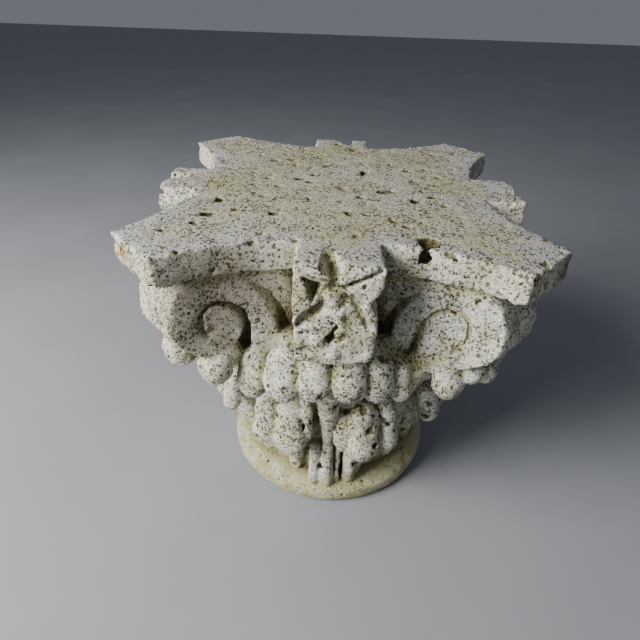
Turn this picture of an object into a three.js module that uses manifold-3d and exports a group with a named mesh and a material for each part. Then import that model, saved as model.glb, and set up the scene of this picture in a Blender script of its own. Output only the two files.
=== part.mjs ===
// A Corinthian capital carved from one block of porous stone.
// Millimetres, +Z up, origin at the centre of the round underside, -Y is the front face.

import * as THREE from 'three';
import { mergeVertices } from 'three/addons/utils/BufferGeometryUtils.js';
import Module from 'manifold-3d';

const wasm = await Module();
wasm.setup();

// Overall sizes
const HEIGHT = 480;
const HALF_WIDTH = 250;

// Abacus, the slab on top, with four hollow sides and four cut-off horns
const ABACUS_THICKNESS = 37;
const HORN_END_WIDTH = 87;
const SIDE_HOLLOW = 63;
const SIDE_FACETS = 5;

// Base ring and the bell that the carving stands on
const RING_RADIUS = 176;
const RING_HEIGHT = 46;
const RING_ROUNDING = 13;
const RING_STEP = 35;
const LIP_SETBACK = 6;
const LIP_HEIGHT = 34;
const BELL_FACETS = 28;

// Volutes, two under each horn
const VOLUTE_SETBACK = 9;
const VOLUTE_RADIUS = 52;
const VOLUTE_OVERHANG = 5.5;
const EYE_DROP = 108;
const BAND_SPACING = 63;
const BAND_WIDTH = 26;
const GROOVE_WIDTH = 7;
const GROOVE_DEPTH = 13;

// Fleurons, the flower blocks in the middle of the four sides
const FLEURON_WIDTH = 94;
const FLEURON_HEIGHT = 127;
const BUTTON_RADIUS = 13;
const PETAL_GROOVE = 15;
const NOTCH_RUN = 58;

// Upper leaves: how deep their rims curl, and how far back they stand
const FACE_CURL = 60;
const FACE_LEAF_SETBACK = 4;
const HORN_CURL = 38;
const HORN_LEAF_SETBACK = 3;

// Lower leaves, eight between the upper ones
const LOW_CURL = 104;
const LOW_LEAF_PROUD = 62;
const TIER_GAP = 62;
const LOW_LEAF_TURN = 20.5;

// Where the lobes of a leaf meet, in degrees round the axis from the leaf's middle
const FACE_LOBES = [-33, -22, -10, 0, 10, 22, 33];
const HORN_LOBES = [-15, -7, 0, 7, 15];
const LOW_LOBES = [-12, -8.5, 5.5, 16.5];
const LOBE_GROOVE = 17;
const LOBE_STEP_ANGLE = 2.7;
const STALK_STEP_ANGLE = 24;

// Stalks and the ribs that climb between the lower leaves
const STALK_PROUD = 5;
const STEM_RADIUS = 9;

// How far one piece of carving runs into the next, so that they are one stone
const ROOT = 4;

// Values worked out from the sizes above
const QUARTER = Math.PI / 2;
const DEGREE = Math.PI / 180;
const UNDERSIDE = HEIGHT - ABACUS_THICKNESS;
const HORN_HALF = HALF_WIDTH - HORN_END_WIDTH / Math.SQRT2;
const SIDE_RADIUS = (HORN_HALF ** 2 + SIDE_HOLLOW ** 2) / (2 * SIDE_HOLLOW);
const SIDE_CENTRE = HALF_WIDTH - SIDE_HOLLOW + SIDE_RADIUS;
const FOOT_RADIUS = RING_RADIUS - RING_STEP;
const LIP_RADIUS = HALF_WIDTH - SIDE_HOLLOW - LIP_SETBACK;
const CORE_RADIUS = FOOT_RADIUS - 15;
const EYE_HEIGHT = HEIGHT - EYE_DROP;
const EYE_OUT = HORN_HALF - VOLUTE_OVERHANG - VOLUTE_RADIUS;
const VOLUTE_BOTTOM = EYE_HEIGHT - VOLUTE_RADIUS * 0.9;
const VOLUTE_FOOT = VOLUTE_BOTTOM - 15;
const VOLUTE_EDGE = EYE_OUT + VOLUTE_RADIUS;
const CHEEK_REACH = (VOLUTE_EDGE + faceAt(VOLUTE_EDGE)) / Math.SQRT2;
const FACE_TIP = HEIGHT - FLEURON_HEIGHT - FACE_CURL;
const FACE_RIM = HALF_WIDTH - FACE_LEAF_SETBACK;
const HORN_TIP = VOLUTE_BOTTOM - HORN_CURL;
const HORN_RIM = CHEEK_REACH - HORN_LEAF_SETBACK;
const LOW_TIP = FACE_TIP - TIER_GAP - LOW_CURL;
const LOW_RIM = FOOT_RADIUS + LOW_LEAF_PROUD;
const WAIST_HEIGHT = (LOW_TIP + RING_HEIGHT) * 0.86;

const { lerp, clamp, smoothstep } = THREE.MathUtils;

// A closed three.js geometry as a solid that can be joined and cut
function solid(geometry) {
  const bare = geometry.index ? geometry.toNonIndexed() : geometry.clone();
  for (const name of Object.keys(bare.attributes)) {
    if (name !== 'position') bare.deleteAttribute(name);
  }
  const merged = mergeVertices(bare, 1e-4);
  const corners = merged.index.array;
  const kept = [];
  for (let i = 0; i < corners.length; i += 3) {
    const [a, b, c] = [corners[i], corners[i + 1], corners[i + 2]];
    if (a !== b && b !== c && c !== a) kept.push(a, b, c);
  }
  return new wasm.Manifold(new wasm.Mesh({
    numProp: 3,
    vertProperties: new Float32Array(merged.attributes.position.array),
    triVerts: new Uint32Array(kept),
  }));
}

function joined(parts) {
  return parts.reduce((sum, part) => sum.add(part));
}

function geometryOf(body) {
  const mesh = body.getMesh();
  const geometry = new THREE.BufferGeometry();
  const points = new Float32Array(mesh.vertProperties);
  geometry.setAttribute('position', new THREE.BufferAttribute(points, 3));
  geometry.setIndex(new THREE.BufferAttribute(new Uint32Array(mesh.triVerts), 1));
  geometry.computeVertexNormals();
  return geometry;
}

function polygon(points) {
  return new THREE.Shape(points.map(([x, y]) => new THREE.Vector2(x, y)));
}

// An outline in plan, stood up between two heights
function upright(shape, bottom, top) {
  const options = { depth: top - bottom, bevelEnabled: false, curveSegments: SIDE_FACETS };
  return new THREE.ExtrudeGeometry(shape, options).translate(0, 0, bottom);
}

// An outline in a front view, x across and y up, pushed from y = -near out to y = -far
function pushedOut(points, near, far) {
  const options = { depth: far - near, bevelEnabled: false };
  const geometry = new THREE.ExtrudeGeometry(polygon(points), options);
  return geometry.rotateX(QUARTER).translate(0, -near, 0);
}

// A tapered rod with flat sides between two points, for ribs and, four-sided, for V cuts
function rod(from, to, startRadius, endRadius, sides) {
  const start = new THREE.Vector3(...from);
  const run = new THREE.Vector3(...to).sub(start);
  const geometry = new THREE.CylinderGeometry(endRadius, startRadius, run.length(), sides, 1);
  const up = new THREE.Vector3(0, 1, 0);
  geometry.translate(0, run.length() / 2, 0);
  geometry.applyQuaternion(new THREE.Quaternion().setFromUnitVectors(up, run.normalize()));
  return geometry.translate(...start.toArray());
}

// The plan of the abacus: hollow sides set back by one amount, horn ends by another
function planShape(setback, endSetback) {
  const radius = SIDE_RADIUS + setback;
  const gap = SIDE_CENTRE - HALF_WIDTH - HORN_HALF + endSetback * Math.SQRT2;
  const reach = (Math.sqrt(2 * radius ** 2 - gap ** 2) - gap) / 2;
  const half = Math.asin(reach / radius);
  const shape = new THREE.Shape();
  for (let side = 0; side < 4; side += 1) {
    const turn = side * QUARTER;
    const x = SIDE_CENTRE * Math.sin(turn);
    const y = -SIDE_CENTRE * Math.cos(turn);
    shape.absarc(x, y, radius, QUARTER + half + turn, QUARTER - half + turn, true);
  }
  return shape;
}

// How far out the hollow face of the volutes stands at a distance across the side
function faceAt(across) {
  return SIDE_CENTRE - Math.sqrt((SIDE_RADIUS + VOLUTE_SETBACK) ** 2 - across ** 2);
}

function abacus() {
  return solid(upright(planShape(0, 0), UNDERSIDE, HEIGHT));
}

// The rounded base ring and, above it, the bell, slim at its foot and flared at its lip
function ringAndBell() {
  const profile = [[0, 0], [RING_RADIUS - RING_ROUNDING * 0.6, 0]];
  const edge = RING_HEIGHT * 0.36;
  for (const degrees of [-60, -20, 20, 60]) {
    const angle = degrees * DEGREE;
    const out = RING_RADIUS - RING_ROUNDING * (1 - Math.cos(angle));
    profile.push([out, edge * (1 + Math.sin(angle))]);
  }
  profile.push([FOOT_RADIUS + STALK_PROUD + ROOT, RING_HEIGHT]);
  const shoulder = UNDERSIDE - LIP_HEIGHT;
  for (const share of [0, 0.33, 0.67, 1]) {
    const radius = lerp(FOOT_RADIUS, LIP_RADIUS - STALK_PROUD, share ** 2.2);
    profile.push([radius, lerp(RING_HEIGHT + ROOT, shoulder, share)]);
  }
  profile.push([LIP_RADIUS, shoulder + LIP_HEIGHT / 2], [LIP_RADIUS, UNDERSIDE + ROOT]);
  profile.push([0, UNDERSIDE + ROOT]);
  const outline = profile.map(([x, y]) => new THREE.Vector2(x, y));
  return solid(new THREE.LatheGeometry(outline, BELL_FACETS).rotateX(QUARTER));
}

// Points round the eye of a volute, angles counted up from the outward side
function roundEye(radius, from, to, count) {
  const points = [];
  for (let i = 0; i <= count; i += 1) {
    const angle = lerp(from, to, i / count) * DEGREE;
    points.push([EYE_OUT + radius * Math.cos(angle), EYE_HEIGHT + radius * Math.sin(angle)]);
  }
  return points;
}

// The scroll as seen from the front: a band rises beside the flower, turns over under the
// abacus, and comes down outside and under the eye
function scrollOutline() {
  const top = UNDERSIDE + ROOT / 2;
  const foot = EYE_OUT - BAND_SPACING;
  return [
    [foot + BAND_WIDTH, VOLUTE_FOOT],
    ...roundEye(VOLUTE_RADIUS * 0.9, -150, -80, 3),
    ...roundEye(VOLUTE_RADIUS, -60, 62, 6),
    [EYE_OUT + VOLUTE_RADIUS * 0.23, top],
    [EYE_OUT - VOLUTE_RADIUS * 0.54, top],
    [EYE_OUT - VOLUTE_RADIUS * 0.88, lerp(EYE_HEIGHT, top, 0.47)],
    [lerp(foot, EYE_OUT, 0.08), EYE_HEIGHT],
    [foot, VOLUTE_FOOT],
  ];
}

// The part of the scroll that carries round the horn to the next side
function cheekOutline() {
  const top = UNDERSIDE + ROOT / 2;
  return [
    ...roundEye(VOLUTE_RADIUS * 0.9, -118, -80, 2),
    ...roundEye(VOLUTE_RADIUS, -60, 62, 6),
    [EYE_OUT + VOLUTE_RADIUS * 0.23, top],
    [EYE_OUT - VOLUTE_RADIUS * 0.48, top],
  ];
}

// The groove that winds from the foot of the band over the eye, as a closed strip
function grooveOutline() {
  const inner = [];
  const outer = [];
  const steps = 6;
  for (let i = 0; i <= steps; i += 1) {
    const share = i / steps;
    const angle = lerp(228, -4, share) * DEGREE;
    const radius = lerp(VOLUTE_RADIUS, VOLUTE_RADIUS * 0.42, share ** 0.55);
    const half = (GROOVE_WIDTH / 2) * lerp(1.5, 0.55, share);
    for (const [points, reach] of [[inner, radius - half], [outer, radius + half]]) {
      points.push([EYE_OUT + reach * Math.cos(angle), EYE_HEIGHT + reach * Math.sin(angle)]);
    }
  }
  return [...inner, ...outer.reverse()];
}

// The volutes: a scroll to each hand on every side, joined by a cheek at every horn
function volutes() {
  const top = UNDERSIDE + ROOT / 2;
  const block = solid(upright(planShape(VOLUTE_SETBACK, 0), VOLUTE_FOOT, top));
  const floor = solid(upright(planShape(VOLUTE_SETBACK + GROOVE_DEPTH, 0), VOLUTE_FOOT, top));
  const heart = planShape(VOLUTE_SETBACK + GROOVE_DEPTH * 2, HORN_END_WIDTH / 2);
  const scrolls = [solid(upright(heart, UNDERSIDE - LIP_HEIGHT, top))];
  const grooves = [];
  for (let side = 0; side < 4; side += 1) {
    for (const hand of [-1, 1]) {
      const [scroll, groove] = [scrollOutline(), grooveOutline()].map((outline) => {
        const points = outline.map(([x, y]) => [x * hand, y]);
        return solid(pushedOut(points, CORE_RADIUS, HALF_WIDTH).rotateZ(side * QUARTER));
      });
      scrolls.push(scroll);
      grooves.push(groove);
    }
    const cheek = cheekOutline().map(([x, y]) => [(x + faceAt(x)) / Math.SQRT2, y]);
    const strip = pushedOut(cheek, -HALF_WIDTH / 2, HALF_WIDTH / 2);
    scrolls.push(solid(strip.rotateZ((side - 0.5) * QUARTER)));
  }
  const horns = joined(scrolls).intersect(block);
  return horns.subtract(joined(grooves).subtract(floor));
}

// A fleuron about the middle of its top edge: a block cut into petals round a button
function fleuron() {
  const half = FLEURON_WIDTH / 2;
  const foot = -FLEURON_HEIGHT;
  const outline = [
    [-half * 0.85, foot], [half * 0.9, foot], [half * 0.97, foot * 0.62],
    [half * 0.7, foot * 0.37], [half, foot * 0.22], [half * 0.95, 0],
    [-half, 0], [-half, foot * 0.6], [-half * 0.9, foot * 0.68],
  ];
  const block = solid(pushedOut(outline, LIP_RADIUS - PETAL_GROOVE * 2, HALF_WIDTH));
  const middle = [-half * 0.1, foot * 0.33];
  const petalEdges = [
    { end: [half * 0.8, foot * 0.04], size: 0.7 },
    { end: [half * 0.8, foot * 0.68], size: 0.7 },
    { end: [half * 0.05, foot * 0.76], size: 1.2 },
    { end: [-half, foot * 0.6], size: 0.8 },
    { end: [-half * 0.8, foot * 0.14], size: 1.1 },
  ];
  const cutters = petalEdges.map(({ end, size }) => {
    const from = [middle[0], -HALF_WIDTH, middle[1]];
    const to = [end[0], -HALF_WIDTH, end[1]];
    return solid(rod(from, to, BUTTON_RADIUS / 4, PETAL_GROOVE * size, 4));
  });
  const notchBack = [-half * 0.4, NOTCH_RUN - HALF_WIDTH, PETAL_GROOVE * 0.13];
  const notchFront = [0, -HALF_WIDTH - PETAL_GROOVE * 0.4, -PETAL_GROOVE * 0.27];
  cutters.push(solid(rod(notchBack, notchFront, 1, PETAL_GROOVE * 1.4, 4)));
  const dish = new THREE.SphereGeometry(BUTTON_RADIUS * 1.9, 7, 4).rotateX(QUARTER);
  cutters.push(solid(dish.scale(1, 0.4, 1).translate(middle[0], -HALF_WIDTH, middle[1])));
  const button = new THREE.SphereGeometry(BUTTON_RADIUS, 7, 5).rotateX(QUARTER);
  button.scale(1, 0.9, 1).translate(middle[0], BUTTON_RADIUS - HALF_WIDTH, middle[1]);
  return block.subtract(joined(cutters)).add(solid(button));
}

function fleurons() {
  const flower = fleuron().translate([0, 0, HEIGHT]);
  return joined([0, 90, 180, 270].map((turn) => flower.rotate([0, 0, turn])));
}

// The stations across a leaf, two to four to each lobe, from the angles where its lobes meet
function stationsOf(edges) {
  const stations = [];
  for (let i = 0; i < edges.length - 1; i += 1) {
    const wanted = Math.round((edges[i + 1] - edges[i]) / LOBE_STEP_ANGLE);
    const count = clamp(wanted, 2, 4);
    for (let j = 0; j < count; j += 1) {
      const share = j / count;
      const turn = lerp(edges[i], edges[i + 1], share);
      stations.push({ turn, valley: 1 - Math.sin(Math.PI * share) ** 0.6 });
    }
  }
  stations.push({ turn: edges.at(-1), valley: 1 });
  return stations;
}

// A side profile of radius and height, carried round the axis. The turn of each of its
// copies comes from place(step, radius, height), which gives the angle, radius and height.
function carriedRound(profile, steps, place) {
  const options = { depth: steps, steps, bevelEnabled: false };
  const geometry = new THREE.ExtrudeGeometry(polygon(profile), options);
  const points = geometry.attributes.position;
  for (let i = 0; i < points.count; i += 1) {
    const step = steps - Math.round(points.getZ(i));
    const [angle, radius, height] = place(step, points.getX(i), points.getY(i));
    points.setXYZ(i, radius * Math.sin(angle), -radius * Math.cos(angle), height);
  }
  return solid(geometry);
}

// The curled rim of a leaf, which draws in and lifts where two lobes meet, and stands
// back and falls away towards its sides
function curledRim({ angle, profile, edges, rim, tip, back, fall }) {
  const stations = stationsOf(edges);
  const middle = (edges[0] + edges.at(-1)) / 2;
  const halfSpread = (edges.at(-1) - edges[0]) / 2;
  return carriedRound(profile, stations.length - 1, (step, radius, height) => {
    const { turn, valley } = stations[step];
    const outer = smoothstep(radius, rim - LOBE_GROOVE * 3.5, rim - LOBE_GROOVE * 0.6);
    const side = ((turn - middle) / halfSpread) ** 2;
    const lift = height < tip + LOBE_GROOVE ? LOBE_GROOVE * 1.5 * valley : 0;
    const inward = outer * (LOBE_GROOVE * valley + back * side);
    return [(angle + turn) * DEGREE, radius - inward, height + outer * (lift - fall * side)];
  });
}

// The stalk that carries a rim up from the ring, wider at the top
function stalk(angle, profile, footSpread, topSpread) {
  const steps = Math.ceil(topSpread / STALK_STEP_ANGLE);
  const top = profile.at(-1)[1];
  return carriedRound(profile, steps, (step, radius, height) => {
    const climb = (height - RING_HEIGHT) / (top - RING_HEIGHT);
    const spread = lerp(footSpread, topSpread, climb);
    return [(angle + spread * (step / steps - 0.5)) * DEGREE, radius, height];
  });
}

// The side profile of a stalk, from inside the ring up its front and back under the rim
function stalkProfile(proud, waistHeight, underRim, top) {
  return [
    [CORE_RADIUS, RING_HEIGHT - ROOT], [FOOT_RADIUS + proud, RING_HEIGHT - ROOT],
    [FOOT_RADIUS + proud * 1.9, waistHeight], underRim, [CORE_RADIUS, top],
  ];
}

// The leaf in the middle of a side, three lobes to each hand of its rib
function faceLeaf(angle) {
  const [rim, tip] = [FACE_RIM, FACE_TIP];
  const profile = [
    [CORE_RADIUS, tip - FACE_CURL / 3], [rim - FACE_CURL * 0.6, tip + 2], [rim - 10, tip - 2],
    [rim, tip + FACE_CURL * 0.3], [rim - 1, tip + FACE_CURL * 0.7],
    [rim - FACE_CURL * 0.3, tip + FACE_CURL - 3], [CORE_RADIUS, tip + FACE_CURL + 8],
  ];
  const lean = stalkProfile(STALK_PROUD, WAIST_HEIGHT, [rim - FACE_CURL * 0.8, tip - 2], tip + 2);
  const curl = curledRim({ angle, profile, edges: FACE_LOBES, rim, tip, back: 10, fall: 30 });
  return curl.add(stalk(angle, lean, 14, 46));
}

// The leaf under a horn, two lobes to each hand of the corner
function hornLeaf(angle) {
  const [rim, tip] = [HORN_RIM, HORN_TIP];
  const profile = [
    [CORE_RADIUS, tip - HORN_CURL], [rim - 12, tip - 4], [rim, tip + HORN_CURL / 2],
    [rim - 4, tip + HORN_CURL + 2], [CORE_RADIUS, tip + HORN_CURL + 10],
  ];
  const lean = stalkProfile(STALK_PROUD, WAIST_HEIGHT, [rim - HORN_CURL * 1.8, tip - 10], tip);
  const curl = curledRim({ angle, profile, edges: HORN_LOBES, rim, tip, back: 30, fall: 12 });
  return curl.add(stalk(angle, lean, 14, 24));
}

// A lower leaf, its broad lobe towards the middle of the side and narrower ones beside it
function lowLeaf(angle, hand) {
  const [rim, tip] = [LOW_RIM, LOW_TIP];
  const profile = [
    [CORE_RADIUS, tip + 10], [rim - 8, tip - 1], [rim, tip + LOW_CURL * 0.27],
    [rim - 1, tip + LOW_CURL * 0.67], [rim - LOW_CURL * 0.2, tip + LOW_CURL],
    [CORE_RADIUS, tip + LOW_CURL - 4],
  ];
  const edges = LOW_LOBES.map((edge) => edge * hand).sort((a, b) => a - b);
  const waist = lerp(RING_HEIGHT, tip, 0.5);
  const lean = stalkProfile(STALK_PROUD * 2.4, waist, [rim - LOW_CURL / 4, tip + 8], tip + 20);
  const curl = curledRim({ angle, profile, edges, rim, tip, back: 8, fall: -4 });
  return curl.add(stalk(angle + hand * 2, lean, 12, 20));
}

// A rib that leans out from the ring to the leaf above it, thin in the middle
function stem(angle) {
  const low = [0, -FOOT_RADIUS - STALK_PROUD, RING_HEIGHT - ROOT];
  const waist = [0, -FOOT_RADIUS - STALK_PROUD * 3, WAIST_HEIGHT];
  const high = [0, -FACE_RIM + FACE_CURL * 0.83, FACE_TIP - FACE_CURL / 3];
  const lower = rod(low, waist, STEM_RADIUS * 0.75, STEM_RADIUS * 0.5, 6);
  const upper = rod(waist, high, STEM_RADIUS * 0.5, STEM_RADIUS * 1.1, 6);
  return joined([lower, upper].map((part) => solid(part.rotateZ(angle * DEGREE))));
}

function leaves() {
  const parts = [];
  for (let side = 0; side < 4; side += 1) {
    const front = side * 90;
    parts.push(faceLeaf(front), hornLeaf(front + 45), stem(front));
    parts.push(lowLeaf(front - LOW_LEAF_TURN, -1), lowLeaf(front + LOW_LEAF_TURN, 1));
  }
  return joined(parts);
}

const stone = new THREE.MeshStandardMaterial({ color: 0xd9d6c4, roughness: 0.95, metalness: 0 });

const body = joined([ringAndBell(), abacus(), volutes(), fleurons(), leaves()]);
const capital = new THREE.Mesh(geometryOf(body), stone);
capital.name = 'capital';

const group = new THREE.Group();
group.add(capital);

export default group;
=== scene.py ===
"""A worn Corinthian capital of porous stone.

The block is carved on a grid of distances to its surface, in millimetres, and then meshed in
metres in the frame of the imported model. One stone finish covers it. Run as a script, the file
builds the capital, its stage and the camera.
"""

import math

import bpy
import numpy as np
import openvdb
from bpy.props import FloatProperty, FloatVectorProperty, IntProperty, PointerProperty
from mathutils import Matrix, Vector


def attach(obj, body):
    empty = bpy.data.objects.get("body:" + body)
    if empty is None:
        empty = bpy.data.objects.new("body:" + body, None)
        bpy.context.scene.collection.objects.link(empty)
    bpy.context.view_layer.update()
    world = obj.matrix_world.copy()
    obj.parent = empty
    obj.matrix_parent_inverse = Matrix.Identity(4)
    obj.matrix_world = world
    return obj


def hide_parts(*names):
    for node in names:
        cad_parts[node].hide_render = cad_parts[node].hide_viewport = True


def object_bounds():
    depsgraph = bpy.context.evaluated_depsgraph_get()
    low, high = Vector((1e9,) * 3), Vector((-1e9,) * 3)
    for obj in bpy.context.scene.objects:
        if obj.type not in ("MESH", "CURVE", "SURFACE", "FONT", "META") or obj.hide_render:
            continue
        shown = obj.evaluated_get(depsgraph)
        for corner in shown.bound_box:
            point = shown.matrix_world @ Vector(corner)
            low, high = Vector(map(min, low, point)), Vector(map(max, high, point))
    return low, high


bl_info = {
    "name": "Corinthian Capital",
    "version": (1, 0, 0),
    "blender": (4, 5, 0),
    "location": "View3D > Sidebar > Capital",
    "description": "Carves a worn Corinthian capital of porous stone",
    "category": "Add Mesh",
}

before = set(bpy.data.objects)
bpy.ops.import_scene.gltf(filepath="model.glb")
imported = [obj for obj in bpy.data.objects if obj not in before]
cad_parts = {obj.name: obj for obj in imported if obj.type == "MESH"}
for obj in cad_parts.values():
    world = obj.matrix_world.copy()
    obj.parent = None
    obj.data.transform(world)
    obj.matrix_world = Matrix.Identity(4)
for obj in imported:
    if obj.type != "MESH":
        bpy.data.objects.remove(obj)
CAD_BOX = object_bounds()
MM = 0.001

# The block, in millimetres
HALF_WIDTH = CAD_BOX[1].x / MM
HEIGHT = CAD_BOX[1].z / MM
ABACUS_THICKNESS = 37.0
UNDERSIDE = HEIGHT - ABACUS_THICKNESS
HORN_END_WIDTH = 87.0
SIDE_HOLLOW = 63.0
HORN_HALF = HALF_WIDTH - HORN_END_WIDTH / math.sqrt(2)
HORN_REACH = (HALF_WIDTH + HORN_HALF) / math.sqrt(2)
SIDE_RADIUS = (HORN_HALF**2 + SIDE_HOLLOW**2) / (2 * SIDE_HOLLOW)
SIDE_CENTRE = HALF_WIDTH - SIDE_HOLLOW + SIDE_RADIUS

# Base ring and bell
RING_RADIUS = 176.0
RING_HEIGHT = 46.0
FOOT_RADIUS = 141.0
LIP_RADIUS = 181.0
LIP_HEIGHT = 34.0

# Volutes
VOLUTE_SETBACK = 9.0
VOLUTE_FOOT = 310.0
CORE_RADIUS = 126.0

FRONT, RIGHT, BACK, LEFT = range(4)
FAR_OFF = 60.0


# Distances


def smooth_min(a, b, blend):
    """The lower of two distances, rounded where they meet."""
    if not blend:
        return np.minimum(a, b)
    meet = np.maximum(blend - np.abs(a - b), 0) / blend
    return np.minimum(a, b) - meet * meet * (blend / 4)


def smooth_max(a, b, blend):
    """The higher of two distances, rounded where they meet."""
    return -smooth_min(-a, -b, blend)


def smooth_step(value, low, high):
    """0 below low, 1 above high, and an even slope between them."""
    share = np.clip((value - low) / (high - low), 0, 1)
    return share * share * (3 - 2 * share)


def outline_distance(outline, across, up):
    """Distance to a closed outline in a plane, negative inside it."""
    shape = np.broadcast_shapes(np.shape(across), np.shape(up))
    nearest = np.full(shape, 1e6, np.float32)
    inside = np.zeros(shape, bool)
    for (ax, ay), (bx, by) in zip(outline, outline[1:] + outline[:1]):
        run, rise = bx - ax, by - ay
        share = ((across - ax) * run + (up - ay) * rise) / (run * run + rise * rise)
        share = np.clip(share, 0, 1)
        gap = np.hypot(across - ax - share * run, up - ay - share * rise)
        nearest = np.minimum(nearest, gap)
        crosses = (ay > up) != (by > up)
        inside ^= crosses & (across < ax + (up - ay) * run / (rise or 1e-9))
    return np.where(inside, -nearest, nearest).astype(np.float32)


def path_distance(path, across, up):
    """Distance past the edge of a strip along a path, and the strip's depth there.

    Each knot of the path is (across, up, half width, depth)."""
    edge = depth = None
    for a, b in zip(path, path[1:]):
        run, rise = b[0] - a[0], b[1] - a[1]
        share = ((across - a[0]) * run + (up - a[1]) * rise) / (run * run + rise * rise)
        share = np.clip(share, 0, 1)
        gap = np.hypot(across - a[0] - share * run, up - a[1] - share * rise)
        gap = gap - (a[2] + share * (b[2] - a[2]))
        here = a[3] + share * (b[3] - a[3])
        if edge is None:
            edge, depth = gap, here
        else:
            nearer = gap < edge
            edge, depth = np.where(nearer, gap, edge), np.where(nearer, here, depth)
    return edge, depth


def plan_distance(x, y, setback, end_setback):
    """Distance outside the abacus's plan, with its hollow sides and horn ends set back."""
    x, y = np.abs(x), np.abs(y)
    across, out = np.minimum(x, y), np.maximum(x, y)
    side = SIDE_RADIUS + setback - np.hypot(across, SIDE_CENTRE - out)
    horn = (x + y) / math.sqrt(2) - HORN_REACH + end_setback
    return smooth_max(side, horn, 3)


def face_at(across, setback=VOLUTE_SETBACK):
    """How far out the hollow face of a side stands at a distance across it."""
    return SIDE_CENTRE - np.sqrt((SIDE_RADIUS + setback) ** 2 - across**2)


def round_axis(turn, radius, height):
    """A point given by its angle from the front, its radius and its height."""
    angle = math.radians(turn)
    return np.array([radius * math.sin(angle), -radius * math.cos(angle), height])


def on_side(side, across, out, height):
    """A point given by its place on one of the four sides."""
    angle = side * math.pi / 2
    x = out * math.sin(angle) + across * math.cos(angle)
    y = -out * math.cos(angle) + across * math.sin(angle)
    return np.array([x, y, height])


class Block:
    """Stone on a grid. Each value is a distance to the surface, below zero in the stone."""

    def __init__(self, pitch):
        self.pitch = pitch
        margin = 4 * pitch
        low = np.array([-HALF_WIDTH, -HALF_WIDTH, 0.0]) - margin
        high = np.array([HALF_WIDTH, HALF_WIDTH, HEIGHT]) + margin
        self.low = low
        self.axes = [np.arange(a, b, pitch, dtype=np.float32) for a, b in zip(low, high)]
        self.field = np.full([len(a) for a in self.axes], FAR_OFF, np.float32)

    def window(self, low, high):
        """The part of the grid in a box: its slices and its x, y and z."""
        slices = tuple(
            slice(*np.searchsorted(axis, (a, b))) for axis, a, b in zip(self.axes, low, high)
        )
        x, y, z = (axis[part] for axis, part in zip(self.axes, slices))
        return slices, x[:, None, None], y[None, :, None], z[None, None, :]

    def side_window(self, side, low, high):
        """The part of the grid in a box on one side: its slices and across, out and up."""
        a, b = on_side(side, *low), on_side(side, *high)
        slices, x, y, z = self.window(np.minimum(a, b), np.maximum(a, b))
        across = (x, y, -x, -y)[side]
        out = (-y, x, y, -x)[side]
        return slices, across, out, z

    def join(self, slices, distance, blend=0.0):
        self.field[slices] = smooth_min(self.field[slices], distance, blend)

    def cut(self, slices, distance, blend=0.0):
        self.field[slices] = smooth_max(self.field[slices], -distance, blend)

    def finger(self, knots, blend=0.0, cut=False, squeeze=1.0):
        """A rounded rod through knots of (point, radius). Below 1, squeeze thins it radially."""
        points = np.array([point for point, _ in knots])
        radii = np.array([radius for _, radius in knots])
        reach = radii.max() + blend + 2 * self.pitch
        slices, x, y, z = self.window(points.min(0) - reach, points.max(0) + reach)
        best = None
        for i in range(max(len(knots) - 1, 1)):
            start, end = points[i], points[min(i + 1, len(knots) - 1)]
            run = end - start
            share = (x - start[0]) * run[0] + (y - start[1]) * run[1] + (z - start[2]) * run[2]
            share = np.clip(share / max(run @ run, 1e-6), 0, 1)
            dx, dy, dz = (
                p - start[j] - share * run[j] for j, p in enumerate((x, y, z))
            )
            if squeeze != 1.0:
                outward = start[:2] / np.hypot(*start[:2])
                along = dx * outward[0] + dy * outward[1]
                extra = along * (1 / squeeze - 1)
                dx, dy = dx + outward[0] * extra, dy + outward[1] * extra
            radius = radii[i] + share * (radii[min(i + 1, len(knots) - 1)] - radii[i])
            gap = np.sqrt(dx * dx + dy * dy + dz * dz) - radius
            best = gap if best is None else smooth_min(best, gap, 2)
        (self.cut if cut else self.join)(slices, best.astype(np.float32), blend)

    def noise(self, cell, rng):
        """Smooth random values from -1 to 1 over the grid, with lumps about a cell wide."""
        coarse = [int(math.ceil(len(a) * self.pitch / cell)) + 3 for a in self.axes]
        values = rng.uniform(-1, 1, coarse).astype(np.float32)
        for k, axis in enumerate(self.axes):
            place = (axis - axis[0]) / cell + 0.5
            first = np.floor(place).astype(int)
            share = smooth_step(place - first, 0, 1).astype(np.float32)
            weights = np.zeros((len(axis), coarse[k]), np.float32)
            rows = np.arange(len(axis))
            weights[rows, first] = 1 - share
            weights[rows, first + 1] = share
            values = np.moveaxis(np.tensordot(weights, values, (1, k)), 0, k)
        return values

    def fullness(self, radius):
        """The share of stone round each grid point: half on a flat face, more in a hollow."""
        stone = np.clip(0.5 - self.field / self.pitch, 0, 1)
        reach = max(int(round(radius / self.pitch)), 1)
        for _ in range(2):
            for axis in range(3):
                stone = box_blur(stone, reach, axis)
        return stone

    def at(self, values, points):
        """Values on the grid, read between its points."""
        place = (points - self.low) / self.pitch
        first = np.clip(np.floor(place).astype(int), 0, np.array(values.shape) - 2)
        share = np.clip(place - first, 0, 1)
        total = np.zeros(len(points))
        for corner in np.ndindex(2, 2, 2):
            weight = np.prod(np.where(corner, share, 1 - share), axis=1)
            total += weight * values[tuple((first + corner).T)]
        return total


def box_blur(values, reach, axis):
    """The mean over a run of grid points along one axis."""
    pad = [(0, 0)] * 3
    pad[axis] = (reach + 1, reach)
    total = np.cumsum(np.pad(values, pad, mode="edge"), axis=axis, dtype=np.float32)
    size = values.shape[axis]
    upper = np.take(total, np.arange(2 * reach + 1, 2 * reach + 1 + size), axis=axis)
    lower = np.take(total, np.arange(size), axis=axis)
    return (upper - lower) / (2 * reach + 1)


# Carving


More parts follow.
